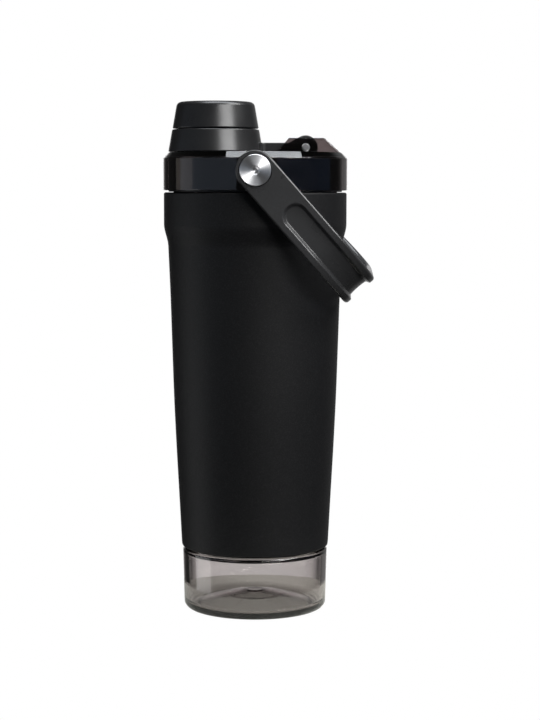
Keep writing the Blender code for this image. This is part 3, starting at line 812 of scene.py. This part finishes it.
def twist_band(bm):
    """Lift the band a little about its pivots, from the front bend to the back arm."""
    front_end = INNER + THICK - BEND
    for vert in bm.verts:
        share = max(0.0, (vert.co.y + front_end) / (INNER + front_end))
        turn = Matrix.Rotation(-HANDLE_TWIST * min(1.0, share), 4, "Y")
        vert.co = turn @ vert.co


def make_handle():
    back = half_band()
    front = [[(x, -y, up) for x, y, up in row] for row in back]
    bm = loft_mesh(back + front[::-1][1:])
    twist_band(bm)
    bmesh.ops.transform(bm, matrix=Matrix.Rotation(HANDLE_DROP, 4, "Y"), verts=bm.verts)
    handle = finish_mesh("carry_handle", bm, (0, 0, PIVOT_Z))
    outer = INNER + THICK
    floor = outer - 1.3
    hole = rounded(((0, 40), (4.5, 40), (4.5, floor, 0.3), (7.9, floor, 0.3),
                    (7.9, outer, 0.35), (8.8, outer + 1.0), (0, outer + 1.0)))
    for side in (-1, 1):
        cut(handle, rod("eye", hole, side, 0, PIVOT_Z, SMALL))
    # The handle's look is the black plastic painted lighter, as painted light.
    present(handle, "handle_arm", LOOKS["handle_painted_light_plastic"], "black_plastic", "handle")


def make_screw(label, side):
    """A shoulder screw with a turned, slightly dished face and a hex socket."""
    low, high, head = 39.0, 53.0, 51.4
    outline = rounded(((0, low), (1.2, low, 0.3), (1.2, 47.1), (2.95, 47.1, 0.2),
                       (2.95, head), (7.45, head, 0.2), (7.45, high - 0.45, 0.1),
                       (7.1, high - 0.05, 0.1), (6.9, high - 0.12, 0.05),
                       (2.3, high - 0.14, 0.1), (1.5, high - 0.8), (0, high - 0.8)))
    screw = rod(f"screw_{label}", outline, side, 0, PIVOT_Z, SMALL)
    socket = rod("socket", ((0, high - 2.4), (1.25, high - 2.4), (1.25, high), (0, high)),
                 side, 0, PIVOT_Z, 6)
    cut(screw, socket)
    centre_origin(screw)
    present(screw, "lid", LOOKS["turned_steel"], "turned_steel", f"handle_screw_{label}")


# ---------------------------------------------------------------- CAD nodes that stay

KEPT = {
    "base_plate": "brushed_steel", "getter": "getter_metal", "base_socket": "core_plastic",
    "cup_seal": "silicone", "lid_seal": "silicone", "cap_seal": "silicone",
    "mixing_grid": "core_plastic", "insert_front": "brass", "insert_back": "brass",
    "pivot_washer_front": "acetal", "pivot_washer_back": "acetal",
    "handle_bush_front": "acetal", "handle_bush_back": "acetal",
}


def dress_kept_nodes():
    for name, look in KEPT.items():
        obj = frame["nodes"][name]
        obj.data.materials.clear()
        obj.data.materials.append(LOOKS[look])
        shade(obj)


# ---------------------------------------------------------------- stage

CAMERA_DISTANCE = 0.92
CAMERA_HEIGHT = 0.2102
CAMERA_PITCH = radians(5.32)
CAMERA_YAW = radians(0.4545)
CAMERA_ROLL = radians(0.1)
LENS_MM = 92.35
SENSOR_MM = 36.0
FLOOR_RADIUS = 0.075
FLOOR_DROP = 0.0002      # keeps the floor clear of the cup's foot


def make_camera():
    data = bpy.data.cameras.new("camera")
    data.lens = LENS_MM
    data.sensor_width = SENSOR_MM
    camera = bpy.data.objects.new("camera", data)
    camera.location = (AXIS_X * MM, -CAMERA_DISTANCE, CAMERA_HEIGHT)
    camera.rotation_euler = (pi / 2 - CAMERA_PITCH, -CAMERA_ROLL, -CAMERA_YAW)
    bpy.context.scene.collection.objects.link(camera)
    bpy.context.scene.camera = camera


def make_floor():
    """A round sheet that the camera sees as white as the backdrop round it.

    To all other rays it is a dim grey that glows faintly of itself: painted shade for the
    bottle's shadow on the floor as seen through the cup, lifted by a painted glow.
    """
    bm = bmesh.new()
    bmesh.ops.create_circle(bm, cap_ends=True, segments=96, radius=FLOOR_RADIUS)
    mesh = bpy.data.meshes.new("floor")
    bm.to_mesh(mesh)
    bm.free()
    floor = bpy.data.objects.new("floor", mesh)
    floor.location = (AXIS_X * MM, 0, -FLOOR_DROP)
    bpy.context.scene.collection.objects.link(floor)
    material, tree, shader, place = new_material("floor_painted_glow_and_shade", Roughness=0.9,
                                                 Specular_IOR_Level=0.0)
    # Painted shade: the sheet's dim grey, with a faint mottle, stands in for the floor in the
    # bottle's shadow.
    paper = noise(tree, place, 40.0, 2.0)
    link(tree, blend_colours(tree, paper, (0.30, 0.30, 0.27), (0.33, 0.33, 0.30)),
         shader, "Base Color")
    # Painted glow: a faint olive-white light of the sheet's own, though it is no lamp.
    shader.inputs["Emission Color"].default_value = (1.0, 1.0, 0.92, 1)
    shader.inputs["Emission Strength"].default_value = 0.34
    glow = node(tree, "Emission", {"Color": (1, 1, 1, 1), "Strength": 1.0})
    seen = node(tree, "LightPath").outputs["Is Camera Ray"]
    mixed = node(tree, "MixShader", {0: seen, 1: shader.outputs["BSDF"],
                                     2: glow.outputs["Emission"]})
    tree.links.new(mixed.outputs["Shader"], tree.nodes["Material Output"].inputs["Surface"])
    mesh.materials.append(material)


def make_light(name, azimuth, elevation, distance, size, radiance, tint=(1, 1, 1),
               aim=(0, 0, 0.16)):
    """A rectangular soft light. Azimuth is from the camera's side, to its right."""
    data = bpy.data.lights.new(name, "AREA")
    data.shape = "RECTANGLE"
    data.size, data.size_y = size
    data.energy = radiance * size[0] * size[1] * pi
    data.color = tint
    light = bpy.data.objects.new(name, data)
    flat = cos(radians(elevation))
    way = Vector((sin(radians(azimuth)) * flat, -cos(radians(azimuth)) * flat,
                  sin(radians(elevation))))
    light.location = Vector(aim) + way * distance
    light.rotation_euler = way.to_track_quat("Z", "Y").to_euler()
    bpy.context.scene.collection.objects.link(light)


def make_world():
    """A white backdrop behind the object, and a dim room on the camera's side."""
    world = bpy.data.worlds.new("studio")
    bpy.context.scene.world = world
    world.use_nodes = True
    tree = world.node_tree
    way = node(tree, "TexCoord").outputs["Generated"]
    parts = node(tree, "SeparateXYZ", {"Vector": way})
    facing = node(tree, "VectorMath", {0: way, 1: (0.2, 1.0, 0.0)}, operation="DOT_PRODUCT")
    side = node(tree, "MapRange", {"Value": facing.outputs["Value"], "From Min": 0.76,
                                   "From Max": 0.92, "To Min": 0.03, "To Max": 0.24},
                interpolation_type="SMOOTHSTEP")
    behind = node(tree, "MapRange", {"Value": parts.outputs["Y"], "From Min": 0.935,
                                     "From Max": 0.975, "To Min": 0.0, "To Max": 0.8},
                  interpolation_type="SMOOTHSTEP")
    around = node(tree, "Math", {0: side.outputs["Result"], 1: behind.outputs["Result"]})
    seen = node(tree, "LightPath").outputs["Is Camera Ray"]
    strength = node(tree, "Mix", {"Factor": seen, "A": around.outputs["Value"], "B": 1.0})
    background = tree.nodes["Background"]
    background.inputs["Color"].default_value = (1, 1, 1, 1)
    tree.links.new(strength.outputs["Result"], background.inputs["Strength"])


def make_stage():
    bpy.context.scene.view_settings.view_transform = "Standard"
    make_camera()
    make_floor()
    make_world()
    make_light("overhead", 0, 84, 0.95, (0.95, 0.62), 7.0, (0.93, 0.97, 1.02),
               (0.105, 0, 0.22))
    make_light("key_strip", 31, 25, 1.25, (0.78, 0.30), 14.0)
    make_light("right_strip", 66, 46, 1.10, (0.62, 0.38), 13.0)
    make_light("left_card", -64, 4, 1.10, (1.90, 0.58), 0.28, (0.78, 0.95, 1.2))
    make_light("left_low", -91, -16, 0.90, (0.50, 0.45), 1.5)
    make_light("left_glow", -98, 2, 0.90, (0.50, 0.12), 0.30, (1.1, 1.0, 0.92))
    make_light("right_card", 66, 0, 1.30, (2.10, 0.50), 0.06, (0.4, 0.8, 1.6))


make_body()
make_liner()
make_cup()
make_lid()
make_core()
make_pin()
make_tether()
make_cap()
make_handle()
for which, toward in (("front", -1), ("back", 1)):
    make_screw(which, toward)
dress_kept_nodes()
make_stage()
